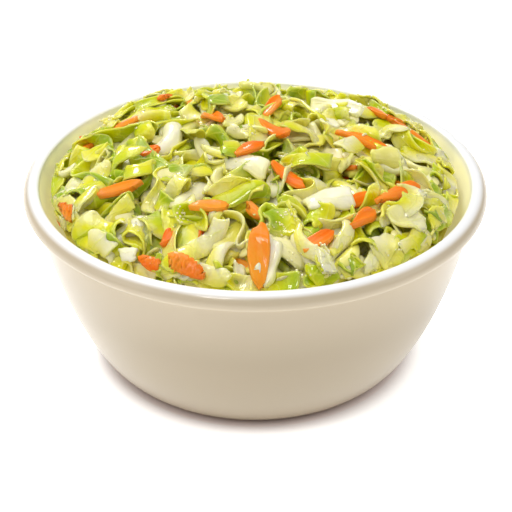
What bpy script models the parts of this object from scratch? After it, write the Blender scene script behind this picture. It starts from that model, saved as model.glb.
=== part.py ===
"""A side salad of coleslaw, heaped in the small round bowl that it is served in.

Two solids: the bowl, turned from one closed profile, and the salad heap, which fills
the bowl to its inner wall and rises over the lip as an uneven dome.
Origin: the centre of the base, on the surface that the bowl stands on. +Z is up.
"""

import math
import random

import bmesh
import bpy
from mathutils import Vector
from mathutils.geometry import interpolate_bezier

MM = 0.001

# Driving dimensions of the bowl
LIP_RADIUS = 60.0 * MM  # the widest place of the whole
LIP_HEIGHT = 51.0 * MM  # the crest of the lip
LIP_WIDTH = 4.1 * MM  # across the lip, from its outer edge to the inner wall
CREST_INSET = 3.0 * MM  # from the lip's outer edge in to its crest
OUTER_EDGE_DROP = 2.8 * MM  # from the crest down to the lip's outer edge
INNER_EDGE_DROP = 0.8 * MM  # from the crest down to the lip's inner edge
LIP_DEPTH = 6.2 * MM  # from the crest down to where the lip meets the outer wall
WALL_RADIUS = 56.2 * MM  # outer wall just under the lip
WALL_LEAN = math.radians(4.0)  # of the outer wall under the lip, from upright
WALL_THICKNESS = 2.7 * MM
INNER_DRAW = 4.6 * MM  # how far the inner wall draws in over WALL_FULLNESS of depth
FOOT_RADIUS = 36.5 * MM
FOOT_WIDTH = 5.5 * MM  # of the flat ring that the bowl stands on
FOOT_RECESS = 1.0 * MM  # how far the middle of the base stands clear
BASE_ROUNDING = 7.8 * MM  # handle of the curve where the base turns up into the wall
WALL_FULLNESS = 15.0 * MM  # handle of the same curve under the lip

# Driving dimensions of the heap
HEAP_GAP = 0.3 * MM  # between the heap and the bowl
HEAP_EDGE_HEIGHT = 45.5 * MM  # where the heap leaves the inner wall
HEAP_RISE = 16.0 * MM  # from there to the middle of the dome
DOME_SPREAD = 2.2  # higher keeps the middle of the dome flatter
DOME_SHOULDER = 0.52  # lower makes the edge of the dome steeper
LUMP_COUNT = 46
LUMP_HEIGHT = 2.6 * MM
LUMP_RADIUS = 5.2 * MM
LUMP_SEED = 11

# Fineness of the solids
SEGMENTS = 72
WALL_STEPS = 12
LIP_STEPS = 4
DOME_RINGS = 15

GOLDEN_ANGLE = math.pi * (3 - math.sqrt(5))


def curve(start, start_handle, end_handle, end, steps):
    """Points (radius, height) along one cubic curve, the first left out."""
    knots = [Vector((r, 0, z)) for r, z in (start, start_handle, end_handle, end)]
    return [(p.x, p.z) for p in interpolate_bezier(*knots, steps + 1)[1:]]


def outer_wall():
    """From the foot's outer edge, round the base and up to the lip."""
    foot = (FOOT_RADIUS, 0)
    top = (WALL_RADIUS, LIP_HEIGHT - LIP_DEPTH)
    below_top = (
        top[0] - WALL_FULLNESS * math.sin(WALL_LEAN),
        top[1] - WALL_FULLNESS * math.cos(WALL_LEAN),
    )
    turn = (FOOT_RADIUS + BASE_ROUNDING, 0)
    return [foot] + curve(foot, turn, below_top, top, WALL_STEPS)


def lip():
    """From the outer wall out under the lip, round its edge, over the crest and in."""
    wall_top = (WALL_RADIUS, LIP_HEIGHT - LIP_DEPTH)
    edge = (LIP_RADIUS, LIP_HEIGHT - OUTER_EDGE_DROP)
    crest = (LIP_RADIUS - CREST_INSET, LIP_HEIGHT)
    inner_edge = (LIP_RADIUS - LIP_WIDTH, LIP_HEIGHT - INNER_EDGE_DROP)
    rise = LIP_DEPTH - OUTER_EDGE_DROP
    crest_to_wall = LIP_WIDTH - CREST_INSET
    return (
        curve(
            wall_top,
            (wall_top[0] + 0.3 * MM, wall_top[1] + 0.5 * rise),
            (edge[0], edge[1] - 0.55 * rise),
            edge,
            LIP_STEPS,
        )
        + curve(
            edge,
            (edge[0], edge[1] + 0.6 * OUTER_EDGE_DROP),
            (crest[0] + 0.45 * CREST_INSET, crest[1]),
            crest,
            LIP_STEPS,
        )
        + curve(
            crest,
            (crest[0] - 0.5 * crest_to_wall, crest[1]),
            (inner_edge[0], inner_edge[1] + 0.6 * INNER_EDGE_DROP),
            inner_edge,
            LIP_STEPS,
        )
    )


def inner_wall():
    """From the lip's inner edge down the inside to where the floor is flat."""
    top = (LIP_RADIUS - LIP_WIDTH, LIP_HEIGHT - INNER_EDGE_DROP)
    floor_edge = (FOOT_RADIUS - WALL_THICKNESS, WALL_THICKNESS + FOOT_RECESS)
    below_top = (top[0] - INNER_DRAW, top[1] - WALL_FULLNESS)
    turn = (floor_edge[0] + BASE_ROUNDING, floor_edge[1])
    return [top] + curve(top, below_top, turn, floor_edge, WALL_STEPS)


def bowl_profile():
    """The closed section of the bowl, anticlockwise from under its middle."""
    foot_inner = FOOT_RADIUS - FOOT_WIDTH
    recess_edge = foot_inner - 2 * FOOT_RECESS
    underside = [(0, FOOT_RECESS), (recess_edge, FOOT_RECESS), (foot_inner, 0)]
    floor_middle = [(0, WALL_THICKNESS + FOOT_RECESS)]
    return underside + outer_wall() + lip() + inner_wall()[1:] + floor_middle


def inset(line, gap):
    """A line of (radius, height) points moved by gap to its right, seen going along."""
    moved = []
    for i, (r, z) in enumerate(line):
        before = line[max(i - 1, 0)]
        after = line[min(i + 1, len(line) - 1)]
        along = Vector((after[0] - before[0], after[1] - before[1])).normalized()
        moved.append((r + gap * along.y, z - gap * along.x))
    return moved


def height_cut(line, height):
    """The part of a falling line below a height, from the point at that height."""
    for i, ((r0, z0), (r1, z1)) in enumerate(zip(line, line[1:])):
        if z0 >= height > z1:
            share = (z0 - height) / (z0 - z1)
            return [(r0 + share * (r1 - r0), height)] + line[i + 1:]
    raise ValueError("the line doesn't cross that height")


def dome_height(radius, edge_radius):
    """Height of the smooth dome over the base at a radius."""
    share = 1 - (radius / edge_radius) ** DOME_SPREAD
    return HEAP_EDGE_HEIGHT + HEAP_RISE * share**DOME_SHOULDER


def heap_profile():
    """The section of the heap, from the top of its dome out, down and back in."""
    side = height_cut(inset(inner_wall(), HEAP_GAP), HEAP_EDGE_HEIGHT)
    edge_radius = side[0][0]
    dome = []
    for ring in range(DOME_RINGS):
        radius = edge_radius * math.sin(0.5 * math.pi * ring / DOME_RINGS)
        dome.append((radius, dome_height(radius, edge_radius)))
    return dome + side + [(0, side[-1][1])], edge_radius


def lumps(edge_radius):
    """Rounded bumps and hollows spread evenly over the dome, each of its own height."""
    rng = random.Random(LUMP_SEED)
    places = []
    for i in range(LUMP_COUNT):
        radius = edge_radius * math.sqrt((i + 0.5) / LUMP_COUNT)
        angle = i * GOLDEN_ANGLE
        height = LUMP_HEIGHT * rng.uniform(-0.7, 1.0)
        places.append((radius * math.cos(angle), radius * math.sin(angle), height))
    return places


def raise_lumps(bm, edge_radius):
    """Moves the dome's points up and down by the bumps, which fade out at its edge."""
    places = lumps(edge_radius)
    for vert in bm.verts:
        if vert.co.z <= HEAP_EDGE_HEIGHT + 0.01 * MM:
            continue
        radius = math.hypot(vert.co.x, vert.co.y)
        fade = min(1.0, (edge_radius - radius) / LUMP_RADIUS)
        for x, y, height in places:
            away = math.hypot(vert.co.x - x, vert.co.y - y) / LUMP_RADIUS
            vert.co.z += fade * height * math.exp(-away * away)


def turned(profile):
    """A closed mesh, turned from a section about the Z axis."""
    bm = bmesh.new()
    verts = [bm.verts.new((r, 0, z)) for r, z in profile]
    edges = [bm.edges.new(pair) for pair in zip(verts, verts[1:])]
    bmesh.ops.spin(
        bm,
        geom=verts + edges,
        axis=(0, 0, 1),
        cent=(0, 0, 0),
        angle=2 * math.pi,
        steps=SEGMENTS,
        use_merge=True,
    )
    bmesh.ops.remove_doubles(bm, verts=bm.verts, dist=0.01 * MM)
    bmesh.ops.recalc_face_normals(bm, faces=bm.faces)
    return bm


def finish(name, bm, material, sharp_angle):
    mesh = bpy.data.meshes.new(name)
    bm.to_mesh(mesh)
    bm.free()
    mesh.shade_smooth()
    mesh.set_sharp_from_angle(angle=math.radians(sharp_angle))
    mesh.materials.append(material)
    obj = bpy.data.objects.new(name, mesh)
    bpy.context.scene.collection.objects.link(obj)
    return obj


def principled(name, colour, roughness):
    material = bpy.data.materials.new(name)
    material.use_nodes = True
    shader = material.node_tree.nodes["Principled BSDF"]
    shader.inputs["Base Color"].default_value = (*colour, 1)
    shader.inputs["Roughness"].default_value = roughness
    shader.inputs["Metallic"].default_value = 0.0
    return material


def make_bowl():
    glaze = principled("cream_glaze", (0.80, 0.75, 0.66), 0.25)
    return finish("bowl", turned(bowl_profile()), glaze, 40)


def make_heap():
    profile, edge_radius = heap_profile()
    bm = turned(profile)
    raise_lumps(bm, edge_radius)
    salad = principled("dressed_cabbage", (0.55, 0.60, 0.16), 0.4)
    return finish("coleslaw", bm, salad, 60)


def main():
    for obj in list(bpy.data.objects):
        bpy.data.objects.remove(obj)
    make_bowl()
    make_heap()


main()
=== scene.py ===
import math

import bpy
import numpy as np
from mathutils import Matrix, Vector


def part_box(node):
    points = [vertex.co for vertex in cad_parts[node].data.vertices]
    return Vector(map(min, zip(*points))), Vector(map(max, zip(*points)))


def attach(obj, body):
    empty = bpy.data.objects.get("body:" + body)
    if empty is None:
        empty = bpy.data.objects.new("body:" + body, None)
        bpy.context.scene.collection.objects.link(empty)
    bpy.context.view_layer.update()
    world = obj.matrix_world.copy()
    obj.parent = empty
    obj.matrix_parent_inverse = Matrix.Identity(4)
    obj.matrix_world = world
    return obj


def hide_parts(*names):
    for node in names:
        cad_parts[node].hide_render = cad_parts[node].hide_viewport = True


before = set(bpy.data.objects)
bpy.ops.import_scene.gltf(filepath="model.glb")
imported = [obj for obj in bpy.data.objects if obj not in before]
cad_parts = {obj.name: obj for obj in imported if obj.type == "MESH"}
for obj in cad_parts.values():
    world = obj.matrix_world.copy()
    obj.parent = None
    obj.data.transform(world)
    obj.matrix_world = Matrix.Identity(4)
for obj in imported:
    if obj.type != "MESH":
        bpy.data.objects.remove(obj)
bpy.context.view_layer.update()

mm = 0.001
degree = math.pi / 180
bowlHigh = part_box("bowl")[1]
lipRadius = bowlHigh.x
lipTop = bowlHigh.z


def makeMesh(name, points, faces, uv=None, attributes=None, smooth=True):
    # points is (n, 3), faces is (m, 4) or (m, 3), uv is one pair for each point
    mesh = bpy.data.meshes.new(name)
    sides = faces.shape[1]
    mesh.vertices.add(len(points))
    mesh.vertices.foreach_set("co", points.astype(np.float32).ravel())
    mesh.loops.add(faces.size)
    mesh.loops.foreach_set("vertex_index", faces.astype(np.int32).ravel())
    mesh.polygons.add(len(faces))
    mesh.polygons.foreach_set("loop_start", np.arange(0, faces.size, sides, dtype=np.int32))
    mesh.update(calc_edges=True)
    if uv is not None:
        layer = mesh.uv_layers.new(name="shred")
        layer.data.foreach_set("uv", uv[faces.ravel()].astype(np.float32).ravel())
    for key, values in (attributes or {}).items():
        kind = "FLOAT" if values.ndim == 1 else "FLOAT_COLOR"
        layer = mesh.attributes.new(key, kind, "POINT")
        field = "value" if values.ndim == 1 else "color"
        layer.data.foreach_set(field, values.astype(np.float32).ravel())
    if smooth:
        mesh.shade_smooth()
    mesh.validate()
    piece = bpy.data.objects.new(name, mesh)
    bpy.context.scene.collection.objects.link(piece)
    return piece


def gridFaces(rows, columns, closed=False):
    # quads between neighbouring rows and columns; closed joins the last column to the first
    wide = columns if closed else columns - 1
    i, j = np.meshgrid(np.arange(rows - 1), np.arange(wide), indexing="ij")
    nextJ = (j + 1) % columns
    quads = np.stack([i * columns + j, i * columns + nextJ,
                      (i + 1) * columns + nextJ, (i + 1) * columns + j], -1)
    return quads.reshape(-1, 4)


def smoothstep(x):
    # rises from 0 to 1 as x does, level at both ends
    x = np.clip(x, 0, 1)
    return x * x * (3 - 2 * x)


def newMaterial(name):
    material = bpy.data.materials.new(name)
    material.use_nodes = True
    tree = material.node_tree
    shader = tree.nodes["Principled BSDF"]
    return material, tree, shader


def addNode(tree, kind, settings=None, **inputs):
    # a node with its properties set, and its inputs given as values or as sockets to link
    node = tree.nodes.new(kind)
    for key, value in (settings or {}).items():
        setattr(node, key, value)
    for key, value in inputs.items():
        socket = node.inputs[int(key[2:])] if key.startswith("in") else node.inputs[key]
        if isinstance(value, bpy.types.NodeSocket):
            tree.links.new(value, socket)
        else:
            socket.default_value = value
    return node


def ownPlace(tree):
    return tree.nodes.new("ShaderNodeTexCoord").outputs["Object"]


def setInputs(shader, values):
    for key, value in values.items():
        shader.inputs[key].default_value = value


def mixColour(tree, share, first, second, blend="MIX"):
    # from the first colour to the second as share goes from 0 to 1
    node = tree.nodes.new("ShaderNodeMix")
    node.data_type = "RGBA"
    node.blend_type = blend
    for index, value in ((0, share), (6, first), (7, second)):
        if isinstance(value, bpy.types.NodeSocket):
            tree.links.new(value, node.inputs[index])
        else:
            node.inputs[index].default_value = value
    return node.outputs[2]


def ramp(tree, source, low, high, fromValue=0.0, toValue=1.0):
    # a smooth step between two values as the source goes from low to high
    node = addNode(tree, "ShaderNodeMapRange", {"interpolation_type": "SMOOTHSTEP"},
                   in0=source, in1=low, in2=high, in3=fromValue, in4=toValue)
    return node.outputs[0]


def mathNode(tree, operation, first, second=0.0):
    return addNode(tree, "ShaderNodeMath", {"operation": operation},
                   in0=first, in1=second).outputs[0]


def noise(tree, vector, scale, detail=3.0, rough=0.5):
    node = addNode(tree, "ShaderNodeTexNoise", None, in0=vector)
    node.inputs["Scale"].default_value = scale
    node.inputs["Detail"].default_value = detail
    node.inputs["Roughness"].default_value = rough
    return node.outputs[0]


bowlLook = {
    "around": 256,
    "wallSteps": 40,
    "lipSteps": 12,
    "glaze": (0.59, 0.495, 0.35, 1),
    "base": (0.40, 0.325, 0.215, 1),  # painted shade: the wall is painted darker and warmer low down; the random clouds take this colour too
    # painted highlight: the lip's crest and its inner edge are painted white
    "lip": (0.96, 0.965, 0.97, 1),
    # inside: the same glaze painted brighter and yellower on the inner wall, as painted light and a painted
    # reflection of the salad
    "inside": (0.95, 0.92, 0.63, 1),
    "insidePaintedGlow": 0.20,  # painted light: an emission on the inner wall below the lip's painted highlight, standing in for what it gets through the thin salad's edge
    "lipHighlightFrom": 1.0 * mm,  # under the crest, where the painted highlight on the lip ends outside
    "lipHighlightTo": 0.1 * mm,
    "insideFrom": 2.6 * mm,  # and where that painted highlight ends inside
    "insideTo": 0.5 * mm,
    "baseTo": 0.5 * lipTop,  # the height up to which the wall keeps the painted shade's darker, warmer colour
    "glazeFrom": 0.98 * lipTop,
    "cloudScale": 30.0,
    "cloudShare": 0.08,
    "rough": (0.29, 0.32),
    "roughScale": 40.0,
    "coat": 0.3,
    "coatRough": 0.1,
}

# the section that the bowl is turned from, in the frame's own sizes
lipWidth = 4.1 * mm
crestInset = 3.0 * mm
outerEdgeDrop = 2.8 * mm
innerEdgeDrop = 0.8 * mm
lipDepth = 6.2 * mm
wallRadius = lipRadius - 3.8 * mm
wallLean = 4 * degree
wallThickness = 2.7 * mm
innerDraw = 4.6 * mm
footRadius = 36.5 * mm
footWidth = 5.5 * mm
footRecess = 1.0 * mm
baseRounding = 7.8 * mm
wallFullness = 15.0 * mm


def curve(start, startHandle, endHandle, end, steps):
    # points along one cubic curve, the first left out
    t = np.linspace(0, 1, steps + 1)[1:, None]
    knots = np.array([start, startHandle, endHandle, end])
    return ((1 - t) ** 3 * knots[0] + 3 * (1 - t) ** 2 * t * knots[1]
            + 3 * (1 - t) * t**2 * knots[2] + t**3 * knots[3])


def bowlSection():
    # (radius, height) from under the bowl's middle, up outside, over the lip and down inside;
    # the handles of the lip's curves are shares of its own rise and widths
    steps, lipSteps = bowlLook["wallSteps"], bowlLook["lipSteps"]
    foot = (footRadius, 0)
    wallTop = (wallRadius, lipTop - lipDepth)
    belowTop = (wallTop[0] - wallFullness * math.sin(wallLean),
                wallTop[1] - wallFullness * math.cos(wallLean))
    edge = (lipRadius, lipTop - outerEdgeDrop)
    rise = lipDepth - outerEdgeDrop
    crest = (lipRadius - crestInset, lipTop)
    inner = (lipRadius - lipWidth, lipTop - innerEdgeDrop)
    floorEdge = (footRadius - wallThickness, wallThickness + footRecess)
    recessEdge = footRadius - footWidth - 2 * footRecess
    return np.vstack([
        [(0, footRecess), (recessEdge, footRecess), (footRadius - footWidth, 0), foot],
        curve(foot, (footRadius + baseRounding, 0), belowTop, wallTop, steps),
        curve(wallTop, (wallTop[0] + 0.3 * mm, wallTop[1] + 0.5 * rise),
              (edge[0], edge[1] - 0.55 * rise), edge, lipSteps),
        curve(edge, (edge[0], edge[1] + 0.6 * outerEdgeDrop),
              (crest[0] + 0.45 * crestInset, crest[1]), crest, lipSteps),
        curve(crest, (crest[0] - 0.5 * (lipWidth - crestInset), crest[1]),
              (inner[0], inner[1] + 0.6 * innerEdgeDrop), inner, lipSteps),
        curve(inner, (inner[0] - innerDraw, inner[1] - wallFullness),
              (floorEdge[0] + baseRounding, floorEdge[1]), floorEdge, steps),
        [(0, wallThickness + footRecess)]])


def makeBowl():
    # the section turned about Z: a point at (r, h) goes to (r cos a, r sin a, h)
    line = bowlSection()
    angle = np.linspace(0, 2 * np.pi, bowlLook["around"], endpoint=False)
    rings = line[1:-1]
    body = np.stack([rings[:, :1] * np.cos(angle), rings[:, :1] * np.sin(angle),
                     np.repeat(rings[:, 1:], len(angle), 1)], -1).reshape(-1, 3)
    quads = gridFaces(len(rings), len(angle), closed=True)
    here = np.arange(len(angle))
    ahead = (here + 1) % len(angle)
    under, middle = len(body), len(body) + 1
    last = (len(rings) - 1) * len(angle)
    fans = np.vstack([np.stack([np.full_like(here, under), ahead, here], -1),
                      np.stack([np.full_like(here, middle), last + here, last + ahead], -1)])
    points = np.vstack([body, [0, 0, line[0, 1]], [0, 0, line[-1, 1]]])
    inner = (np.arange(len(line)) > line[:, 1].argmax()).astype(float)
    inside = np.concatenate([np.repeat(inner[1:-1], len(angle)), [0, 1]])
    triangles = np.vstack([quads[:, [0, 1, 2]], quads[:, [0, 2, 3]], fans])
    piece = makeMesh("bowlGlazed", points, triangles, attributes={"inside": inside})
    print("bowl: section of", len(line), "points,", len(triangles), "triangles")
    return piece, line


def glazeMaterial():
    material, tree, shader = newMaterial("creamGlaze")
    coords = ownPlace(tree)
    height = addNode(tree, "ShaderNodeSeparateXYZ", None, in0=coords).outputs["Z"]
    inside = addNode(tree, "ShaderNodeAttribute", {"attribute_name": "inside"}).outputs["Fac"]
    # painted highlight: the lip is painted white above these heights, outside and inside
    toLipHighlight = ramp(tree, height, lipTop - bowlLook["lipHighlightFrom"], lipTop - bowlLook["lipHighlightTo"])
    toLipHighlightInside = ramp(tree, height, lipTop - bowlLook["insideFrom"], lipTop - bowlLook["insideTo"])
    up = ramp(tree, height, bowlLook["baseTo"], bowlLook["glazeFrom"])
    clouds = noise(tree, coords, bowlLook["cloudScale"], 2.0)
    cloud = ramp(tree, clouds, 0.3, 0.75, 0.0, bowlLook["cloudShare"])
    # painted shade: darker and warmer towards the bottom, fading out by glazeFrom; then random clouds of
    # the same colour
    wall = mixColour(tree, up, bowlLook["base"], bowlLook["glaze"])
    wall = mixColour(tree, cloud, wall, bowlLook["base"])
    outer = mixColour(tree, toLipHighlight, wall, bowlLook["lip"])
    inner = mixColour(tree, toLipHighlightInside, bowlLook["inside"], bowlLook["lip"])
    tree.links.new(mixColour(tree, inside, outer, inner), shader.inputs["Base Color"])
    rough = ramp(tree, noise(tree, coords, bowlLook["roughScale"], 1.0), 0.3, 0.7, *bowlLook["rough"])
    tree.links.new(rough, shader.inputs["Roughness"])
    # painted light: the inner wall below the lip's painted highlight glows in its own colour
    deep = mathNode(tree, "SUBTRACT", 1.0, toLipHighlightInside)
    glow = mathNode(tree, "MULTIPLY", mathNode(tree, "MULTIPLY", inside, deep), bowlLook["insidePaintedGlow"])
    tree.links.new(glow, shader.inputs["Emission Strength"])
    setInputs(shader, {"Emission Color": bowlLook["inside"], "Coat Weight": bowlLook["coat"],
                       "Coat Roughness": bowlLook["coatRough"]})
    return material


def wander(rng, count, knots):
    # a gentle random line of count values, from a few random knots joined by a cosine blend
    values = rng.uniform(-1, 1, knots + 1)
    at = np.linspace(0, knots, count, endpoint=False)
    low = at.astype(int)
    blend = (1 - np.cos(np.pi * (at - low))) / 2
    return values[low] * (1 - blend) + values[np.minimum(low + 1, knots)] * blend


edgeTurns = 4  # how often a shred's long edges may turn
endTurns = 2  # and its ends
endRagged = 2.0 * mm  # how far the ends wander at ragged 1
foldLength = 0.3  # of a sharp fold, on the scale where a shred is 2 long
puckerPitch = (3.0, 6.5)  # mm from one pucker to the next
leastCup = 0.05


def shredSurface(rng, look, along, across):
    # The middle surface of one shred. s runs along it and q across it, each from -1 to 1.
    # Its line turns with s by bend, wave and fold. Across it is an arc that twists along the line,
    # its edges ruffle, and low puckers cross it.
    length, width = rng.uniform(*look["length"]) * mm, rng.uniform(*look["width"]) * mm
    s = np.linspace(-1, 1, along)[:, None]
    v = np.linspace(-1, 1, across)[None, :]
    q = 0.45 * v + 0.55 * np.sin(np.pi / 2 * v)  # points closer together towards its edges
    corner = look["corner"]
    ends = (1 - (0.975 * np.abs(s)) ** corner) ** (1 / corner)  # superellipse, squarer as it goes up
    narrow = 1 - look["taper"] * rng.uniform(0.2, 1) * (0.5 + 0.5 * s * rng.choice([-1, 1]))
    leftEdge = 1 + look["ragged"] * wander(rng, along, edgeTurns)[:, None]
    rightEdge = 1 + look["ragged"] * wander(rng, along, edgeTurns)[:, None]
    half = width / 2 * (leftEdge * (q < 0) + rightEdge * (q >= 0)) * ends * narrow
    slip = width / 2 * q * look["skew"] * (rng.uniform(-1, 1) + rng.uniform(-0.5, 0.5) * s)
    slip = slip + look["ragged"] * endRagged * wander(rng, across, endTurns)[None, :] * np.sign(s) * s**4
    bend = rng.uniform(*look["bend"]) * rng.choice([-1, 1]) * s / 2
    wave = rng.uniform(*look["wave"])
    bend = bend + wave * np.sin(np.pi * s * rng.uniform(0.7, 1.6) + rng.uniform(0, 6.3))
    if rng.random() < look["foldChance"]:
        at, turn = rng.uniform(-0.4, 0.4), rng.uniform(1.3, 2.8) * rng.choice([-1, 1])
        bend = bend + turn * (smoothstep((s - at) / foldLength + 0.5) - 0.5)
    step = length / (along - 1)
    lineX = np.cumsum(np.cos(bend), 0) * step
    lineZ = np.cumsum(np.sin(bend), 0) * step
    cup = rng.uniform(*look["cup"]) * rng.choice([-1, 1]) * (1 + 0.5 * wander(rng, along, 2)[:, None])
    cup = np.where(np.abs(cup) < leastCup, leastCup, cup)
    side = half * np.sin(cup * q) / cup
    rise = half * (1 - np.cos(cup * q)) / cup
    phase = rng.uniform(0, 6.3, 2)
    ruffle = np.sin(np.pi * rng.uniform(*look["waves"]) * s + np.where(q < 0, phase[0], phase[1]))
    rise = rise + rng.uniform(*look["ruffle"]) * mm * np.abs(q) ** 1.7 * ruffle
    reach = length / 2 * s + slip
    for turn in rng.uniform(0, np.pi, 3):
        pitch = 2 * np.pi / (rng.uniform(*puckerPitch) * mm)
        over = reach * math.cos(turn) + half * q * math.sin(turn)
        rise = rise + look["pucker"] * mm / 3 * np.sin(pitch * over + rng.uniform(0, 6.3))
    twist = rng.uniform(*look["twist"]) * rng.choice([-1, 1]) * s / 2
    lateral = side * np.cos(twist) - rise * np.sin(twist)
    lift = side * np.sin(twist) + rise * np.cos(twist)
    x = lineX + slip * np.cos(bend) - lift * np.sin(bend)
    z = lineZ + slip * np.sin(bend) + lift * np.cos(bend)
    y = lateral + rng.uniform(*look["sideBend"]) * rng.choice([-1, 1]) * length / 4 * s**2
    points = np.stack([x, y, z], -1)
    points -= points.mean((0, 1))
    return points, np.stack([reach, half * q], -1), s, q


def surfaceNormals(points):
    # from the slopes along and across the grid
    along = np.gradient(points, axis=0)
    across = np.gradient(points, axis=1)
    normal = np.cross(along, across)
    return normal / np.maximum(np.linalg.norm(normal, axis=-1, keepdims=True), 1e-12)


def thickFaces(along, across):
    # two grids, the second turned over, and a band round their edge
    top = gridFaces(along, across)
    count = along * across
    index = np.arange(count).reshape(along, across)
    rim = np.concatenate([index[0, :-1], index[:-1, -1], index[-1, :0:-1], index[:0:-1, 0]])
    ahead = np.roll(rim, -1)
    band = np.stack([rim, ahead, ahead + count, rim + count], -1)
    return np.vstack([top[:, ::-1], top + count, band])


def turnTo(points, heading, tilt, roll):
    # roll about its length, tilt its far end up, then turn it to its heading
    turn = (Matrix.Rotation(heading, 3, "Z") @ Matrix.Rotation(-tilt, 3, "Y")
            @ Matrix.Rotation(roll, 3, "X"))
    return points @ np.array(turn).T


def evenOut(values, times):
    # each value moves towards its four neighbours
    for _ in range(times):
        padded = np.pad(values, 1, mode="edge")
        values = (padded[:-2, 1:-1] + padded[2:, 1:-1] + padded[1:-1, :-2]
                  + padded[1:-1, 2:] + 2 * values) / 6
    return values


pile = {
    "cell": 0.8 * mm,  # the side of one square
    "reach": 60 * mm,  # from the middle to the sides of the squares' whole field
    "domeFrom": 40 * mm,  # the heap node's points above this belong to its dome
    "evened": 2.2 * mm,  # the distance over which those points are averaged
    "edgeFill": 2.2 * mm,  # how much higher than the outline the shreds are piled at the wall
    "edgeFrom": 45 * mm,  # the radius from which they are, and how far on it is in full
    "edgeOver": 8 * mm,
    "under": 0.8 * mm,  # how far under the heap's outline the shreds are piled to
    "coreDepth": 8.0 * mm,  # from the heap's outline down to the core
    "coreAtWall": 0.12,  # the share of that depth which is left at coreEdge
    "coreEdge": 55 * mm,
    "coreOver": 8 * mm,
    "countedTo": 54 * mm,  # the radius that shreds are dropped within
    "choosy": 1.3 * mm,  # lower sends more of the shreds to the lowest places
    "mostChoosy": 6,  # the most that a place's depth counts for, as a power of e
    "slopeSquares": 5,  # each way, for the outline's slope
    "steepFrom": 47 * mm,  # further out than this the slope is steepSlope, down to the wall
    "steepSlope": 0.6,
    "seed": 23,
    "wallGap": 0.3 * mm,
    "bearing": 0.6,  # the share of a shred that lies on or over what is under it
    "most": 900,
    "nearlyFull": 1.7 * mm,  # the mean shortage at which the large slices go on
    "proud": 2.1 * mm,  # how far over its outline a shred may stand before it is pressed down
    "pressed": 1.5 * mm,  # the most that is left of what stands further up
    "lipRoom": 55.2 * mm,  # the radius that shreds keep within near the lip
    "lipFrom": 2 * mm,  # under the crest
    "pushShare": 0.75,  # of what passes the wall: moved in whole, before the rest is pressed back
    "softShare": 0.05,  # of the radius: the belt along the wall in which shreds give way
    "showing": 4.5 * mm,  # shreds laid nearer the outline than this are made finely
}


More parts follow.
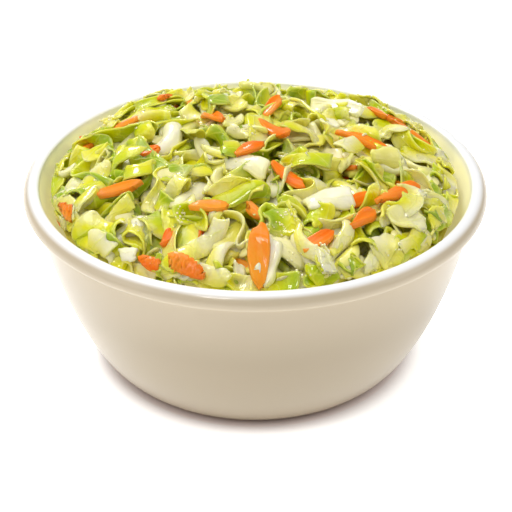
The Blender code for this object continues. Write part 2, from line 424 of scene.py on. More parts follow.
class Pile:
    # a height for each small square of the heap, which each shred raises where it comes to lie
    def __init__(self, innerLine):
        self.rng = np.random.default_rng(pile["seed"])
        self.size = int(2 * pile["reach"] / pile["cell"])
        centre = (np.arange(self.size) + 0.5) * pile["cell"] - pile["reach"]
        self.x, self.y = np.meshgrid(centre, centre, indexing="ij")
        self.radius = np.hypot(self.x, self.y)
        order = innerLine[:, 1].argsort()
        self.wallHeight, self.wallRadius = innerLine[order, 1], innerLine[order, 0]
        atWall = smoothstep((self.radius - pile["edgeFrom"]) / pile["edgeOver"])
        self.outline = self.outlineHeights() - pile["under"] + pile["edgeFill"] * atWall
        inward = smoothstep((pile["coreEdge"] - self.radius) / pile["coreOver"])
        depth = pile["coreDepth"] * (pile["coreAtWall"] + (1 - pile["coreAtWall"]) * inward)
        self.height = self.outline - depth
        self.inside = self.radius < pile["countedTo"]

    def outlineHeights(self):
        # the heap node's top at each square, evened out over its nearest points
        co = np.array([v.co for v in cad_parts["coleslaw"].data.vertices], float)
        co = np.unique(np.round(co[co[:, 2] > pile["domeFrom"]], 5), axis=0)
        found = np.empty(self.x.shape)
        for i in range(self.size):
            away = (self.x[i][:, None] - co[:, 0]) ** 2 + (self.y[i][:, None] - co[:, 1]) ** 2
            weight = np.exp(-away / pile["evened"] ** 2) + 1e-12
            found[i] = (weight * co[:, 2]).sum(1) / weight.sum(1)
        found[self.radius > np.hypot(co[:, 0], co[:, 1]).max()] = co[:, 2].min()
        return found

    def cells(self, points):
        # the row and column of the square under each point
        at = ((points[..., :2] + pile["reach"]) / pile["cell"]).astype(int)
        at = np.clip(at, 0, self.size - 1)
        return at[..., 0], at[..., 1]

    def shortage(self):
        # how far the pile is under its outline, on average
        return (self.outline - self.height)[self.inside].mean()

    def lowPlace(self):
        # a random square, likelier the further the pile is under its outline there
        short = self.outline - self.height
        weight = np.exp(np.clip(short / pile["choosy"], -pile["mostChoosy"], pile["mostChoosy"]))
        weight = weight * self.inside
        flat = self.rng.choice(weight.size, p=(weight / weight.sum()).ravel())
        i, j = divmod(flat, self.size)
        return self.x[i, j], self.y[i, j]

    def slopeAt(self, x, y):
        # of the outline, over a few squares each way
        r = math.hypot(x, y)
        if r > pile["steepFrom"]:
            return -pile["steepSlope"] * x / r, -pile["steepSlope"] * y / r
        i, j = self.cells(np.array([x, y, 0]))
        away = pile["slopeSquares"]
        over = 2 * away * pile["cell"]
        return ((self.outline[i + away, j] - self.outline[i - away, j]) / over,
                (self.outline[i, j + away] - self.outline[i, j - away]) / over)

    def settle(self, points, thick, limp, give):
        # drops a shred until most of it bears, then bends it gently where it would sink in or hang
        for _ in range(2):
            gap = self.height[self.cells(points)] + thick / 2 - points[..., 2]
            points[..., 2] += np.quantile(gap, pile["bearing"])
            self.keepInBowl(points, thick)
        at = self.cells(points)
        gap = self.height[at] + thick / 2 - points[..., 2]
        points[..., 2] += evenOut(np.where(gap > 0, gap * give, gap * limp), points.shape[0])
        over = np.clip(points[..., 2] - self.outline[at] - pile["proud"], 0, None)
        points[..., 2] -= over - pile["pressed"] * (1 - np.exp(-over / pile["pressed"]))
        self.keepInBowl(points, thick)
        at = self.cells(points)
        np.maximum.at(self.height, at, points[..., 2] + thick / 2)
        return points

    def keepInBowl(self, points, thick):
        # moves a shred in from the inner wall, then presses what still passes it back against it
        room = np.interp(points[..., 2], self.wallHeight, self.wallRadius)
        nearLip = points[..., 2] > lipTop - pile["lipFrom"]
        room = np.where(nearLip, pile["lipRoom"], room) - pile["wallGap"] - thick / 2
        over = np.hypot(points[..., 0], points[..., 1]) - room
        if over.max() > 0:
            worst = points[np.unravel_index(over.argmax(), over.shape)]
            inward = worst[:2] / np.hypot(*worst[:2])
            points[..., :2] -= inward * over.max() * pile["pushShare"]
        radius = np.hypot(points[..., 0], points[..., 1])
        soft = pile["softShare"] * room
        over = np.clip(radius - room + soft, 0, None)
        squeezed = np.where(over > 0, room - soft + soft * (1 - np.exp(-over / soft)), radius)
        points[..., :2] *= (squeezed / np.maximum(radius, 1e-9))[..., None]


# each kind of shred: the ranges that its sizes (mm) and turns (radians) come from; limp is how far
# it sags where it hangs free, and give how far it is lifted where it would sink in
strip = {"length": (13, 25), "width": (4.6, 7.8), "thick": (0.5, 0.8), "corner": 9, "ragged": 0.10,
         "taper": 0.35, "skew": 0.45, "bend": (0.3, 2.4), "wave": (0.1, 0.7), "foldChance": 0.35,
         "cup": (0.2, 1.2), "waves": (1.0, 2.4), "ruffle": (0.2, 1.0), "pucker": 0.08,
         "twist": (0, 1.5), "sideBend": (0, 0.5), "lean": 0.9, "limp": 0.12, "give": 0.8}
flake = {**strip, "length": (10, 17), "width": (8, 13), "corner": 4, "ragged": 0.16, "taper": 0.4,
         "skew": 0.3, "bend": (0.4, 2.0), "foldChance": 0.3, "cup": (0.4, 1.3), "ruffle": (0.2, 1.1),
         "pucker": 0.16, "twist": (0, 0.6), "sideBend": (0, 0.2), "lean": 0.6, "limp": 0.2}
curl = {**strip, "length": (16, 27), "width": (4.6, 7.2), "bend": (2.2, 4.4), "foldChance": 0.3,
        "cup": (0.1, 0.6), "twist": (0.2, 1.4), "lean": 1.0, "limp": 0.08}
rib = {**strip, "blunt": 0.5, "length": (7, 16), "width": (3.8, 7.5), "thick": (1.3, 2.3), "corner": 5,
       "taper": 0.4, "bend": (0.1, 1.2), "wave": (0.0, 0.25), "foldChance": 0.0, "cup": (0.3, 1.2),
       "ruffle": (0.0, 0.3), "pucker": 0.08, "twist": (0, 0.7), "lean": 0.5, "limp": 0.1, "give": 0.5}
shell = {**strip, "length": (8, 12), "width": (6.5, 10), "thick": (0.7, 1.1), "corner": 2.6, "ragged": 0.06,
         "taper": 0.2, "bend": (1.2, 2.6), "wave": (0, 0.1), "foldChance": 0.0, "cup": (0.9, 1.4),
         "ruffle": (0.0, 0.2), "pucker": 0.04, "twist": (0, 0.3), "lean": 0.7, "limp": 0.0}
thread = {**strip, "length": (11, 22), "width": (2.0, 3.4), "thick": (0.8, 1.2), "corner": 4, "taper": 0.5,
          "bend": (0.4, 2.6), "foldChance": 0.1, "cup": (0.1, 0.4), "ruffle": (0.0, 0.2), "twist": (0, 1.5),
          "lean": 0.6, "limp": 0.2}
dice = {**rib, "length": (3.5, 6.5), "width": (3, 5), "thick": (1.0, 1.8), "corner": 3.5, "taper": 0.3,
        "give": 0.2}
carrot = {**strip, "blunt": 0.85, "length": (7, 15), "width": (3.8, 5.0), "thick": (1.1, 1.7),
          "corner": 2.2, "ragged": 0.04, "taper": 0.8, "skew": 0.5, "bend": (0.1, 0.7), "wave": (0.0, 0.1),
          "foldChance": 0.0, "cup": (0.4, 0.8), "ruffle": (0.0, 0.1), "pucker": 0.02, "twist": (0.2, 1.0),
          "sideBend": (0, 0.25), "lean": 0.3, "limp": 0.0, "give": 0.1}
kinds = {"strip": strip, "flake": flake, "curl": curl, "rib": rib, "shell": shell, "thread": thread,
         "dice": dice, "carrot": carrot}
# points along and across each kind, about half as many each way where it lies deep
grids = {"strip": (32, 10), "flake": (30, 22), "curl": (44, 13), "rib": (26, 13), "shell": (24, 19),
         "thread": (32, 7), "dice": (12, 9), "carrot": (30, 11)}

leafEdgeThinning = 0.45
tiltShare = 0.4  # of a kind's lean, for how far its far end tips up


def makeShred(pileNow, kind, place=None, heading=None, tilt=None, roll=None, changes=None, tone=None):
    # one shred of a kind, laid on the pile; returns its points and what its colours need
    rng = pileNow.rng
    look = {**kinds[kind], **(changes or {})}
    x, y = place if place is not None else pileNow.lowPlace()
    i, j = pileNow.cells(np.array([x, y, 0]))
    fine = place is not None or pileNow.outline[i, j] - pileNow.height[i, j] < pile["showing"]
    along, across = grids[kind] if fine else (grids[kind][0] // 2, grids[kind][1] // 2 + 1)
    points, flat, s, q = shredSurface(rng, look, along, across)
    thick = rng.uniform(*look["thick"]) * mm
    heading = rng.uniform(0, 2 * math.pi) if heading is None else heading
    tilt = rng.normal(0, look["lean"] * tiltShare) if tilt is None else tilt
    roll = rng.normal(0, look["lean"]) if roll is None else roll
    points = turnTo(points, heading, tilt, roll)
    gx, gy = pileNow.slopeAt(x, y)
    points[..., 2] += gx * points[..., 0] + gy * points[..., 1]
    points[..., 0] += x
    points[..., 1] += y
    points = pileNow.settle(points, thick, look["limp"], look["give"])
    # 0 within the shred and 1 at its edge, rising over the outermost points only
    outer = np.maximum(np.abs(s) ** (0.6 * along), np.abs(q) ** (1.3 * across))
    if look["thick"][0] > 1:  # solid pieces: full in the middle and rounded off towards the edge
        domed = np.sqrt(np.clip(1 - np.maximum(np.abs(s) ** 8, np.abs(q) ** 5), 0, 1))
        body = look["blunt"] + (1 - look["blunt"]) * domed
    else:
        body = 1 - leafEdgeThinning * outer
    normal = surfaceNormals(points)
    offset = normal * (thick / 2 * body)[..., None]
    upward = np.sign(normal[..., 2:]) + (normal[..., 2:] == 0)
    both = np.concatenate([(points + offset).reshape(-1, 3), (points - offset).reshape(-1, 3)])
    uv = np.tile(flat.reshape(-1, 2) + rng.uniform(-1, 1, 2), (2, 1))
    tone = rng.random() if tone is None else tone
    share = np.broadcast_to(s, outer.shape), np.broadcast_to(q, outer.shape)
    return {"kind": kind, "points": both, "uv": uv, "edge": np.tile(outer.ravel(), 2), "tone": tone,
            "grid": (along, across), "s": np.tile(share[0].ravel(), 2), "q": np.tile(share[1].ravel(), 2),
            "lean": rng.uniform(-1, 1, 2), "upper": (points + offset * upward).reshape(-1, 3),
            "normal": (normal * upward).reshape(-1, 3)}


def joinShreds(name, shreds, extra):
    # one mesh from many shreds, with their plans as its UV map and their colours as an attribute
    points, faces, uvs, values = [], [], [], {key: [] for key in extra}
    start = 0
    for shred in shreds:
        points.append(shred["points"])
        faces.append(thickFaces(*shred["grid"]) + start)
        uvs.append(shred["uv"])
        for key, make in extra.items():
            values[key].append(make(shred))
        start += len(shred["points"])
    attributes = {key: np.concatenate(v) for key, v in values.items()}
    piece = makeMesh(name, np.vstack(points), np.vstack(faces), np.vstack(uvs), attributes)
    print(name + ":", len(shreds), "shreds,", 2 * sum(len(f) for f in faces), "triangles")
    return piece


# the share of each kind in the pile
mixOfKinds = {"strip": 0.32, "flake": 0.10, "curl": 0.22, "rib": 0.15, "shell": 0.06, "thread": 0.08,
              "dice": 0.05, "carrot": 0.04}

# slices laid on the full pile: kind, place (mm), heading, tilt and roll (degrees), length and
# width (mm), tone
topSlices = [
    ("flake", (-38, -30), -35, 5, 15, 16, 10, 0.55),
    ("strip", (-24, -20), 80, 10, 50, 20, 6, 0.30),
    ("flake", (-31, -1), 75, 45, 10, 9, 7, 0.80),
    ("strip", (-39, -2), -25, 0, 25, 13, 6, 0.72),
    ("shell", (-42, -13), 60, 0, 0, 11, 9, 0.52),
    ("rib", (-22, 5), 80, 15, 20, 12, 8, 0.10),
    ("strip", (-3, -25), 12, 0, 20, 19, 6, 0.72),
    ("strip", (7, -30), -14, 0, -15, 16, 6, 0.80),
    ("strip", (-14, -42), 38, 5, 15, 20, 6, 0.15),
    ("strip", (-15, -33), -12, 0, 30, 13, 7, 0.66),
    ("shell", (7, -36), 10, 10, 20, 9, 8, 0.70),
    ("shell", (13, -39), 120, 0, -20, 8, 7, 0.78),
    ("shell", (15, -33), 60, 0, 10, 8, 8, 0.66),
    ("rib", (18, -27), 12, 5, 10, 12, 7, 0.00),
    ("flake", (30, -12), 40, 10, 25, 18, 12, 0.60),
    ("strip", (35, -27), 58, 10, 35, 18, 6, 0.25),
    ("flake", (31, -38), 50, 0, 10, 10, 8, 0.15),
    ("strip", (46, -8), 85, 0, 25, 9, 4, 0.85),
    ("strip", (47, -1), 70, 0, -15, 8, 4, 0.75),
    ("curl", (42, 12), -20, 0, 60, 15, 4, 0.88),
    ("strip", (-12, 27), 20, 10, 30, 14, 5, 0.40),
    ("strip", (-5, 33), -10, 10, 20, 13, 5, 0.60),
    ("flake", (14, 31), 30, 10, 20, 13, 9, 0.20),
    ("flake", (22, 14), -30, 10, 15, 13, 9, 0.35),
    ("strip", (-28, 27), 35, 5, 20, 14, 6, 0.45),
    ("rib", (-2, -14), -30, 5, 20, 12, 6, 0.15),
    ("flake", (-12, -10), 60, 15, 30, 12, 9, 0.45),
    ("strip", (12, -8), 25, 5, 35, 17, 6, 0.65),
    ("strip", (-46, 6), 75, 0, 15, 12, 5, 0.55),
    ("rib", (3, -47), 70, 5, 15, 10, 6, 0.05),
    ("flake", (16, -47), 10, 0, 10, 12, 8, 0.10),
    ("strip", (-30, -41), -40, 0, 15, 14, 6, 0.60),
    ("strip", (-22, 37), 25, 5, 30, 14, 6, 0.35),
    ("curl", (-6, 42), 5, 0, 40, 13, 5, 0.60),
    ("strip", (8, 41), -10, 0, 20, 11, 6, 0.75),
    ("strip", (22, 37), -30, 0, 20, 11, 6, 0.30),
    ("flake", (33, 33), -45, 5, 20, 11, 8, 0.65),
    ("strip", (42, 28), -55, 0, 25, 12, 5, 0.45),
    ("strip", (-36, 33), 50, 0, 25, 12, 5, 0.50),
]

# carrot laid last of all: place (mm), heading and tilt (degrees), length and width (mm), tone
topCarrots = [
    ((-39, 18), -20, 5, 17, 4.8, 0.60),
    ((-36, -19), -12, 5, 15, 4.6, 0.70),
    ((-27, -4), 20, 0, 5, 4.3, 0.35),
    ((-11, 14), -65, 15, 12, 6.0, 0.50),
    ((-2, -10), 30, 10, 7, 5.5, 0.45),
    ((-11, -32), 0, 0, 9, 3.8, 0.95),
    ((-47, -22), -60, 0, 7, 4.8, 0.60),
    ((-25, -45), -40, 0, 6, 4.3, 0.40),
    ((-16, -49), -34, 0, 10, 4.8, 0.55),
    ((-21, -38), 60, 0, 4, 3.6, 0.10),
    ((-25, 33), 0, 0, 3, 3.1, 0.50),
    ((4, 18), 60, 20, 11, 5.0, 0.50),
    ((5, 3), -55, 5, 12, 4.8, 0.55),
    ((8, -17), -38, 0, 10, 4.6, 0.35),
    ((28, 3), -20, 0, 13, 5.0, 0.60),
    ((33, 24), -40, 0, 6, 4.6, 0.55),
    ((42, 19), -22, 0, 12, 4.6, 0.60),
    ((35, -20), 52, 5, 17, 5.0, 0.55),
    ((26, -32), 50, 0, 9, 4.6, 0.50),
    ((15, -42), 40, 5, 9, 4.8, 0.45),
    ((1, -47), 92, 15, 14, 6.5, 0.88),
]

# how many more of each kind fall on the slices, before the carrot
looseOnTop = {"strip": 7, "curl": 7, "dice": 10, "thread": 7, "rib": 4, "shell": 3}
# short slices along the wall, in two turns round
rimSlices = {"count": 70, "radius": 51.6 * mm, "length": (8, 14), "width": (3.5, 6.5), "bend": (0.1, 0.8),
             "turns": 2, "uneven": 0.3, "roll": (-0.2, 0.7)}


def fillBowl(pileNow):
    # lays every shred in turn, from the deepest to the carrot on top
    shreds = []
    names = list(mixOfKinds)
    chances = np.array([mixOfKinds[n] for n in names])
    while len(shreds) < pile["most"] and pileNow.shortage() > pile["nearlyFull"]:
        kind = names[pileNow.rng.choice(len(names), p=chances / chances.sum())]
        shreds.append(makeShred(pileNow, kind))
    sizes = {key: rimSlices[key] for key in ("length", "width", "bend")}
    for i in range(rimSlices["count"]):
        step = i + pileNow.rng.uniform(-rimSlices["uneven"], rimSlices["uneven"])
        angle = 2 * math.pi * rimSlices["turns"] * step / rimSlices["count"]
        place = rimSlices["radius"] * math.cos(angle), rimSlices["radius"] * math.sin(angle)
        roll = pileNow.rng.uniform(*rimSlices["roll"])
        shreds.append(makeShred(pileNow, "strip", place, angle + math.pi / 2, 0, roll, sizes))
    print("pile:", len(shreds), "shreds,", round(pileNow.shortage() / mm, 2), "mm under the outline")
    for kind, (x, y), heading, tilt, roll, length, width, tone in topSlices:
        sizes = {"length": (length, length), "width": (width, width)}
        shreds.append(makeShred(pileNow, kind, (x * mm, y * mm), heading * degree, tilt * degree,
                                roll * degree, sizes, tone))
    for kind, count in looseOnTop.items():
        for _ in range(count):
            shreds.append(makeShred(pileNow, kind))
    for (x, y), heading, tilt, length, width, tone in topCarrots:
        sizes = {"length": (length, length), "width": (width, width)}
        shreds.append(makeShred(pileNow, "carrot", (x * mm, y * mm), heading * degree, tilt * degree,
                                0, sizes, tone))
    print("on top:", len(topSlices), "slices and", len(topCarrots), "carrot shreds laid by hand,",
          sum(looseOnTop.values()), "loose ones")
    return shreds


def between(stops, level):
    # a colour for each level from 0 to 1, read off evenly spaced stops
    at = np.linspace(0, 1, len(stops))
    stops = np.array(stops)
    return np.stack([np.interp(level, at, stops[:, k]) for k in range(3)] + [np.ones_like(level)], -1)


# colours for tones from 0 to 1: the leaves and ribs from pale to deep, carrot from reddish on
leafStops = [(0.98, 0.90, 0.56), (0.95, 0.84, 0.20), (0.84, 0.79, 0.0), (0.56, 0.65, 0.0),
             (0.32, 0.46, 0.0)]
ribStops = [(0.98, 0.92, 0.72), (0.97, 0.89, 0.46), (0.90, 0.84, 0.14)]
carrotStops = [(0.94, 0.13, 0.0), (1.0, 0.21, 0.0), (1.0, 0.36, 0.02)]
leafDrift = (0.55, 0.35)  # how far the tone drifts along and across one piece
solidDrift = (0.3, 0.2)


def drifted(shred, along, across):
    # its own tone, drifting along and across it
    return np.clip(shred["tone"] + along * shred["lean"][0] * shred["s"]
                   + across * shred["lean"][1] * shred["q"], 0, 1)


def leafColours(shred):
    return between(leafStops, drifted(shred, *leafDrift))


def ribColours(shred):
    return between(ribStops, drifted(shred, *solidDrift))


def carrotColours(shred):
    return between(carrotStops, drifted(shred, *solidDrift))


def moistMaterial(name, look):
    # a wet food surface: its own tint, yellower cut edges that are partly the cut's own colour and partly a
    # painted rim highlight, veins or fibres, and films of dressing
    material, tree, shader = newMaterial(name)
    tint = addNode(tree, "ShaderNodeAttribute", {"attribute_name": "tint"}).outputs["Color"]
    edge = addNode(tree, "ShaderNodeAttribute", {"attribute_name": "edge"}).outputs["Fac"]
    plan = addNode(tree, "ShaderNodeUVMap", {"uv_map": "shred"}).outputs[0]
    place = ownPlace(tree)
    stretch = addNode(tree, "ShaderNodeMapping", None, in0=plan)
    stretch.inputs["Scale"].default_value = look["stretch"]
    wobble = noise(tree, stretch.outputs[0], look["wobbleScale"], 2.0)
    bent = addNode(tree, "ShaderNodeVectorMath", {"operation": "MULTIPLY_ADD"},
                   in0=wobble, in1=look["wobble"], in2=stretch.outputs[0]).outputs[0]
    veins = addNode(tree, "ShaderNodeTexVoronoi", {"feature": "DISTANCE_TO_EDGE"}, Vector=bent)
    veins.inputs["Scale"].default_value = look["veinScale"]
    line = ramp(tree, veins.outputs["Distance"], 0.0, look["veinWidth"], 1.0, 0.0)
    mottle = ramp(tree, noise(tree, place, look["mottleScale"], 4.0, 0.6), 0.3, 0.72)
    colour = mixColour(tree, mathNode(tree, "MULTIPLY", mottle, look["mottle"]), tint,
                       look["mottleColour"], "MULTIPLY")
    film = ramp(tree, noise(tree, place, look["filmScale"], 3.0, 0.55), look["filmFrom"], look["filmTo"])
    # the edge colour is partly the cut's own paler colour and partly a painted rim highlight
    for where, part in ((line, "vein"), (edge, "edge"), (film, "film")):
        share = mathNode(tree, "MULTIPLY", where, look[part + "Share"])
        colour = mixColour(tree, share, colour, look[part + "Colour"])
    tree.links.new(colour, shader.inputs["Base Color"])
    tree.links.new(ramp(tree, film, 0.0, 1.0, *look["rough"]), shader.inputs["Roughness"])
    tree.links.new(ramp(tree, film, 0.0, 1.0, *look["coat"]), shader.inputs["Coat Weight"])
    beads = addNode(tree, "ShaderNodeTexVoronoi", {"feature": "SMOOTH_F1"}, Vector=place)
    beads.inputs["Scale"].default_value = look["beadScale"]
    bead = ramp(tree, beads.outputs["Distance"], 0.1, 0.6, 1.0, 0.0)
    bead = mathNode(tree, "MULTIPLY", bead, film)
    relief = mathNode(tree, "ADD", mathNode(tree, "MULTIPLY", line, look["veinRelief"]),
                      mathNode(tree, "MULTIPLY", bead, look["beadRelief"]))
    relief = mathNode(tree, "ADD", relief, mathNode(tree, "MULTIPLY", mottle, look["mottleRelief"]))
    bump = addNode(tree, "ShaderNodeBump", None, Strength=look["bump"], Distance=look["bumpDepth"],
                   Height=relief)
    tree.links.new(bump.outputs[0], shader.inputs["Normal"])
    setInputs(shader, {"Subsurface Weight": look["subsurface"], "Subsurface Radius": look["depth"],
                       "Subsurface Scale": mm, "Coat Roughness": look["coatRough"],
                       "IOR": look["refraction"], "Specular IOR Level": look["specular"]})
    return material


# pairs are the values where there is no film of dressing and where there is; depth is in mm
# edgeColour: paler at the cut edges, partly the cut's own colour and partly a painted rim highlight
leafLook = {"veinScale": 170.0, "veinWidth": 0.05, "stretch": (0.7, 1.0, 1.0), "veinShare": 0.35,
            "veinColour": (0.92, 0.92, 0.14, 1), "edgeShare": 0.4, "edgeColour": (0.95, 0.94, 0.26, 1),
            "mottle": 0.3, "mottleColour": (0.88, 0.88, 0.1, 1), "filmScale": 95.0, "filmFrom": 0.54,
            "filmTo": 0.66, "filmShare": 0.35, "filmColour": (0.96, 0.92, 0.50, 1), "rough": (0.32, 0.20),
            "veinRelief": 0.3, "beadRelief": 0.7, "bump": 0.65, "subsurface": 0.5,
            "depth": (2.2, 2.0, 0.15), "coat": (0.7, 1.0), "specular": 0.25, "wobbleScale": 300.0,
            "wobble": (0.0015, 0.0015, 0.0), "mottleScale": 230.0, "mottleRelief": 0.5,
            "beadScale": 800.0, "bumpDepth": 0.5 * mm, "coatRough": 0.06, "refraction": 1.38}
ribLook = {**leafLook, "veinScale": 300.0, "stretch": (0.12, 1.0, 1.0), "veinWidth": 0.1,
           "veinShare": 0.12, "edgeShare": 0.3, "filmShare": 0.3, "mottle": 0.15, "bump": 0.5,
           "subsurface": 0.4, "depth": (2.2, 2.2, 0.9)}
carrotLook = {**leafLook, "veinScale": 700.0, "stretch": (0.08, 1.0, 1.0), "veinWidth": 0.2,
              # the carrot's brighter edge colour is likewise partly a painted rim highlight
              "veinShare": 0.2, "veinColour": (0.95, 0.42, 0.08, 1), "edgeShare": 0.25,
              "edgeColour": (1.0, 0.42, 0.06, 1), "mottleColour": (0.9, 0.66, 0.4, 1), "filmScale": 150.0,
              "filmFrom": 0.60, "filmTo": 0.74, "filmShare": 0.12, "filmColour": (1.0, 0.55, 0.20, 1),
              "subsurface": 0.3, "veinRelief": 0.08,
              "depth": (1.6, 0.5, 0.1), "coat": (0.3, 1.0), "bump": 0.3, "specular": 0.15}


coreLook = {
    "rings": 40,
    "around": 96,
    "radius": 51.5 * mm,
    "below": 0.8 * mm,  # under the pile's first heights
    "floor": 20 * mm,  # the height of its flat underside
    "wallGap": 1.5 * mm,
    # deep and pale: the buried shreds' colours, made darker and browner as painted shade for the crevices
    # they show through
    "deep": (0.60, 0.50, 0.0, 1),
    "pale": (0.80, 0.72, 0.12, 1),
    "patchScale": 160.0,
    "rough": 0.45,
}


def coreMaterial():
    material, tree, shader = newMaterial("slawCoreCreviceShade")
    place = ownPlace(tree)
    patch = ramp(tree, noise(tree, place, coreLook["patchScale"], 4.0), 0.35, 0.65)
    # painted shade: the core's darker, browner olive stands for the shade in the crevices
    colour = mixColour(tree, patch, coreLook["deep"], coreLook["pale"])
    tree.links.new(colour, shader.inputs["Base Color"])
    shader.inputs["Roughness"].default_value = coreLook["rough"]
    return material


def makeCore(pileNow):
    # the pile's own first heights on rings, closed by a flat floor inside the bowl
    rings, around = coreLook["rings"], coreLook["around"]
    radius = np.linspace(0, 1, rings)[:, None] * coreLook["radius"]
    angle = np.linspace(0, 2 * np.pi, around, endpoint=False)[None, :]
    x, y = radius * np.cos(angle), radius * np.sin(angle)
    at = pileNow.cells(np.stack([x, y], -1))
    z = pileNow.height[at] - coreLook["below"]
    top = np.stack([x, y, z], -1)[1:]
    floorZ = coreLook["floor"]
    inward = np.interp(floorZ, pileNow.wallHeight, pileNow.wallRadius) - coreLook["wallGap"]
    low = np.stack([inward * np.cos(angle), inward * np.sin(angle), np.full_like(angle, floorZ)], -1)
    body = np.concatenate([top, low]).reshape(-1, 3)
    quads = gridFaces(rings, around, closed=True)
    ahead = (np.arange(around) + 1) % around
    last = (rings - 1) * around
    centre, under = len(body), len(body) + 1
    fans = np.vstack([np.stack([np.full(around, centre), np.arange(around), ahead], -1),
                      np.stack([np.full(around, under), last + ahead, last + np.arange(around)], -1)])
    points = np.vstack([body, [0, 0, z[0, 0]], [0, 0, floorZ]])
    triangles = np.vstack([quads[:, [0, 3, 2]], quads[:, [0, 2, 1]], fans])
    return makeMesh("slawCore", points, triangles)


dressing = {
    "seed": 5,
    "clusters": 60,
    "inCluster": (6, 26),
    "clusterRadius": 2.6 * mm,
    "beadRadius": 0.20 * mm,  # the middle size; they run from half to double of it
    "beadHeight": 0.5,  # the share of the radius, as for the pools
    "beadGrid": (4, 8),  # rings and points round
    "beadWobble": 0.1,
    "beadScatter": 0.15 * mm,
    "beadDepth": 0.4 * mm,  # how far under the pile's top a shred may be to carry drops
    "beadUpright": 0.3,  # how far up its surface has to face
    "pools": 110,
    "poolRadius": (1.2 * mm, 3.4 * mm),
    "poolHeight": 0.28,
    "poolHollow": 0.9 * mm,  # how far under its surroundings a place must be to hold a pool
    "poolEvened": 12,  # how often the heights are evened out to find those surroundings
    "poolWithin": 50 * mm,
    "poolGrid": (8, 24),
    "poolWobble": 0.22,
    "warm": (0.92, 0.86, 0.36, 1),
    "pale": (0.96, 0.91, 0.58, 1),
    "patchScale": 220.0,
    "rough": (0.12, 0.24),
    "roughScale": 500.0,
    "coat": 0.4,
    "coatRough": 0.05,
}


def blobs(name, centres, normals, radii, flat, grid, wobble, rng):
    # each blob is an ellipsoid whose outline swells by low waves round its own upright:
    # radius(turn) = r * (1 + wobble * sin(2 turn + a) + wobble / 2 * sin(3 turn + b))
    rings, around = grid
    fromTop = np.linspace(0, np.pi, rings + 2)[1:-1][None, :, None]
    turn = np.linspace(0, 2 * np.pi, around, endpoint=False)[None, None, :]
    phase = rng.uniform(0, 6.3, (2, len(centres), 1, 1))
    swell = 1 + wobble * np.sin(2 * turn + phase[0]) + wobble / 2 * np.sin(3 * turn + phase[1])
    spread = radii[:, None, None] * swell * np.sin(fromTop)
    rise = (radii * flat)[:, None, None] * np.cos(fromTop) * np.ones_like(turn)
    side = np.cross(normals, [0.3, 0.9, 0.1])
    side /= np.linalg.norm(side, axis=1, keepdims=True)
    other = np.cross(normals, side)
    body = (centres[:, None, None] + (spread * np.cos(turn))[..., None] * side[:, None, None]
            + (spread * np.sin(turn))[..., None] * other[:, None, None]
            + rise[..., None] * normals[:, None, None])
    upright = normals * (radii * flat)[:, None]
    poles = np.stack([centres + upright, centres - upright], 1)
    points = np.concatenate([body.reshape(len(centres), -1, 3), poles], 1)
    quads = gridFaces(rings, around, closed=True)
    here, ahead = np.arange(around), (np.arange(around) + 1) % around
    last, pole = (rings - 1) * around, rings * around
    faces = np.vstack([quads[:, [0, 2, 1]], quads[:, [0, 3, 2]],
                       np.stack([np.full(around, pole), here, ahead], -1),
                       np.stack([np.full(around, pole + 1), last + ahead, last + here], -1)])
    start = (np.arange(len(centres)) * points.shape[1])[:, None, None]
    piece = makeMesh(name, points.reshape(-1, 3), (faces[None] + start).reshape(-1, 3))
    print(name + ":", len(centres), "blobs,", len(centres) * len(faces), "triangles")
    return piece


def makeBeads(pileNow, shreds):
    # small drops in clusters, on the upper sides of the shreds that lie uppermost
    rng = np.random.default_rng(dressing["seed"])
    leaves = [shred for shred in shreds if shred["kind"] != "carrot"]
    upper = np.vstack([shred["upper"] for shred in leaves])
    normal = np.vstack([shred["normal"] for shred in leaves])
    shown = upper[:, 2] > pileNow.height[pileNow.cells(upper)] - dressing["beadDepth"]
    shown = shown & (normal[:, 2] > dressing["beadUpright"])
    upper, normal = upper[shown], normal[shown]
    chosen = []
    for centre in upper[rng.choice(len(upper), dressing["clusters"])]:
        near = np.flatnonzero(((upper - centre) ** 2).sum(1) < dressing["clusterRadius"] ** 2)
        count = min(len(near), rng.integers(*dressing["inCluster"]))
        chosen.append(rng.choice(near, count, replace=False))
    chosen = np.concatenate(chosen)
    radii = dressing["beadRadius"] * 2 ** rng.uniform(-1, 1, len(chosen))
    centres = upper[chosen] + rng.normal(0, dressing["beadScatter"], (len(chosen), 3)) * [1, 1, 0]
    return blobs("dressingBeads", centres, normal[chosen], radii, dressing["beadHeight"],
                 dressing["beadGrid"], dressing["beadWobble"], rng)


def makePools(pileNow):
    # thin pools of dressing, lying in the hollows between the uppermost shreds
    rng = np.random.default_rng(dressing["seed"] + 1)
    around = evenOut(pileNow.height, dressing["poolEvened"])
    hollow = around - pileNow.height > dressing["poolHollow"]
    hollow = hollow & (pileNow.radius < dressing["poolWithin"])
    i, j = np.nonzero(hollow)
    chosen = rng.choice(len(i), dressing["pools"], replace=False)
    i, j = i[chosen], j[chosen]
    radii = rng.uniform(*dressing["poolRadius"], len(i))
    centres = np.stack([pileNow.x[i, j], pileNow.y[i, j], pileNow.height[i, j]], -1)
    slopeX, slopeY = np.gradient(around, pile["cell"])
    normals = np.stack([-slopeX[i, j], -slopeY[i, j], np.ones(len(i))], -1)
    normals /= np.linalg.norm(normals, axis=1, keepdims=True)
    return blobs("dressingPools", centres, normals, radii, dressing["poolHeight"],
                 dressing["poolGrid"], dressing["poolWobble"], rng)


def dressingMaterial():
    material, tree, shader = newMaterial("ivoryDressing")
    place = ownPlace(tree)
    patch = ramp(tree, noise(tree, place, dressing["patchScale"], 3.0), 0.35, 0.65)
    tree.links.new(mixColour(tree, patch, dressing["warm"], dressing["pale"]), shader.inputs["Base Color"])
    rough = ramp(tree, noise(tree, place, dressing["roughScale"], 2.0), 0.3, 0.7, *dressing["rough"])
    tree.links.new(rough, shader.inputs["Roughness"])
    setInputs(shader, {"Coat Weight": dressing["coat"], "Coat Roughness": dressing["coatRough"]})
    return material


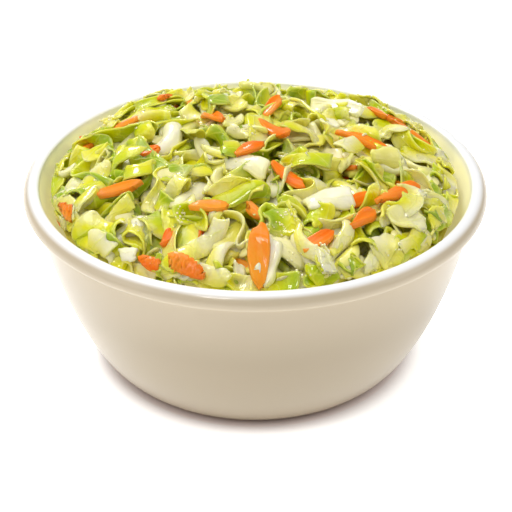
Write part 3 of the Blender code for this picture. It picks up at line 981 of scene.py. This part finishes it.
view = {
    "elevation": 31.2 * degree,
    "distance": 450 * mm,
    "aim": (0.24 * mm, 0, 26.2 * mm),
    "lens": 118.4,
    "sensor": 36,
}
stage = {
    "floorSize": 3.0,  # metres, from the middle to each side
    "shaded": (0.86, 0.72, 0.70, 1),
    "clear": (0.92, 0.92, 0.92, 1),
    "clearFrom": footRadius + 1.5 * mm,  # the painted shadow round the foot fades from here outward, where the floor grows brighter
    "clearTo": footRadius + 10 * mm,
    "clearGlow": 0.7,
    "rough": 0.8,
    "world": 0.37,
    "lampAim": (0, 0, 0.05),
}
# area lamps: place (metres), width (metres), watts, colour
lights = {
    "keyTop": ((-0.20, 0.22, 0.90), 0.7, 3.25, (1.0, 0.99, 0.97)),
    "sparkBack": ((-0.20, 0.50, 0.55), 0.20, 1.8, (1.0, 1.0, 1.0)),
    "sparkFront": ((-0.18, -0.35, 0.80), 0.18, 1.3, (1.0, 1.0, 1.0)),
    "left": ((-0.75, -0.35, 0.55), 0.5, 1.0, (1.0, 0.98, 0.95)),
    "right": ((0.75, -0.15, 0.55), 0.5, 1.0, (1.0, 0.98, 0.95)),
}


def makeStage():
    ground = np.array([[-1, -1, 0], [1, -1, 0], [1, 1, 0], [-1, 1, 0]], float) * stage["floorSize"]
    floor = makeMesh("floor", ground, np.array([[0, 1, 2, 3]]), smooth=False)
    material, tree, shader = newMaterial("paleFloor")
    place = ownPlace(tree)
    away = addNode(tree, "ShaderNodeVectorMath", {"operation": "LENGTH"}, in0=place).outputs["Value"]
    # painted shadow: near the foot the floor is pinker and darker and does not glow; further out it is
    # evenly bright and glows
    clear = ramp(tree, away, stage["clearFrom"], stage["clearTo"])
    tree.links.new(mixColour(tree, clear, stage["shaded"], stage["clear"]), shader.inputs["Base Color"])
    setInputs(shader, {"Roughness": stage["rough"], "Emission Color": (1, 1, 1, 1)})
    glow = mathNode(tree, "MULTIPLY", clear, stage["clearGlow"])
    tree.links.new(glow, shader.inputs["Emission Strength"])
    floor.data.materials.append(material)
    for name, (place, size, power, colour) in lights.items():
        lamp = bpy.data.lights.new(name, "AREA")
        lamp.shape = "DISK"
        lamp.size = size
        lamp.energy = power
        lamp.color = colour
        holder = bpy.data.objects.new(name, lamp)
        holder.location = place
        aim = Vector(stage["lampAim"]) - Vector(place)
        holder.rotation_euler = aim.to_track_quat("-Z", "Y").to_euler()
        bpy.context.scene.collection.objects.link(holder)
    world = bpy.data.worlds.new("studio")
    world.use_nodes = True
    background = world.node_tree.nodes["Background"]
    background.inputs["Color"].default_value = (1.0, 1.0, 1.0, 1)
    background.inputs["Strength"].default_value = stage["world"]
    bpy.context.scene.world = world
    bpy.context.scene.view_settings.view_transform = "Standard"


def makeCamera():
    aim = Vector(view["aim"])
    back = Vector((0, -math.cos(view["elevation"]), math.sin(view["elevation"])))
    data = bpy.data.cameras.new("camera")
    data.lens = view["lens"]
    data.sensor_width = view["sensor"]
    camera = bpy.data.objects.new("camera", data)
    camera.location = aim + back * view["distance"]
    camera.rotation_euler = (-back).to_track_quat("-Z", "Y").to_euler()
    bpy.context.scene.collection.objects.link(camera)
    bpy.context.scene.camera = camera


makeCamera()
makeStage()
print("stage: camera, floor and", len(lights), "lamps")
bowl, bowlLine = makeBowl()
bowl.data.materials.append(glazeMaterial())
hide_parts("bowl")
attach(bowl, "root")

innerLine = bowlLine[bowlLine[:, 1].argmax():-1]
heap = Pile(innerLine)
core = makeCore(heap)
core.data.materials.append(coreMaterial())
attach(core, "root")
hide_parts("coleslaw")
shreds = fillBowl(heap)

leafMaterial = moistMaterial("dressedLeaf", leafLook)
ribMaterial = moistMaterial("dressedRib", ribLook)
carrotMaterial = moistMaterial("dressedCarrot", carrotLook)
groups = {
    "leafStrips": (["strip"], leafColours, leafMaterial, "dressed_cabbage"),
    "leafFlakes": (["flake"], leafColours, leafMaterial, "dressed_cabbage"),
    "leafCurls": (["curl"], leafColours, leafMaterial, "dressed_cabbage"),
    "leafShells": (["shell", "thread"], leafColours, leafMaterial, "dressed_cabbage"),
    "ribSlices": (["rib", "dice"], ribColours, ribMaterial, "dressed_cabbage"),
    "carrotShreds": (["carrot"], carrotColours, carrotMaterial, "carrot"),
}
for name, (members, colours, material, slot) in groups.items():
    chosen = [shred for shred in shreds if shred["kind"] in members]
    piece = joinShreds(name, chosen, {"tint": colours, "edge": lambda shred: shred["edge"]})
    piece.data.materials.append(material)
    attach(piece, "root")

ivory = dressingMaterial()
for piece in (makeBeads(heap, shreds), makePools(heap)):
    piece.data.materials.append(ivory)
    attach(piece, "root")
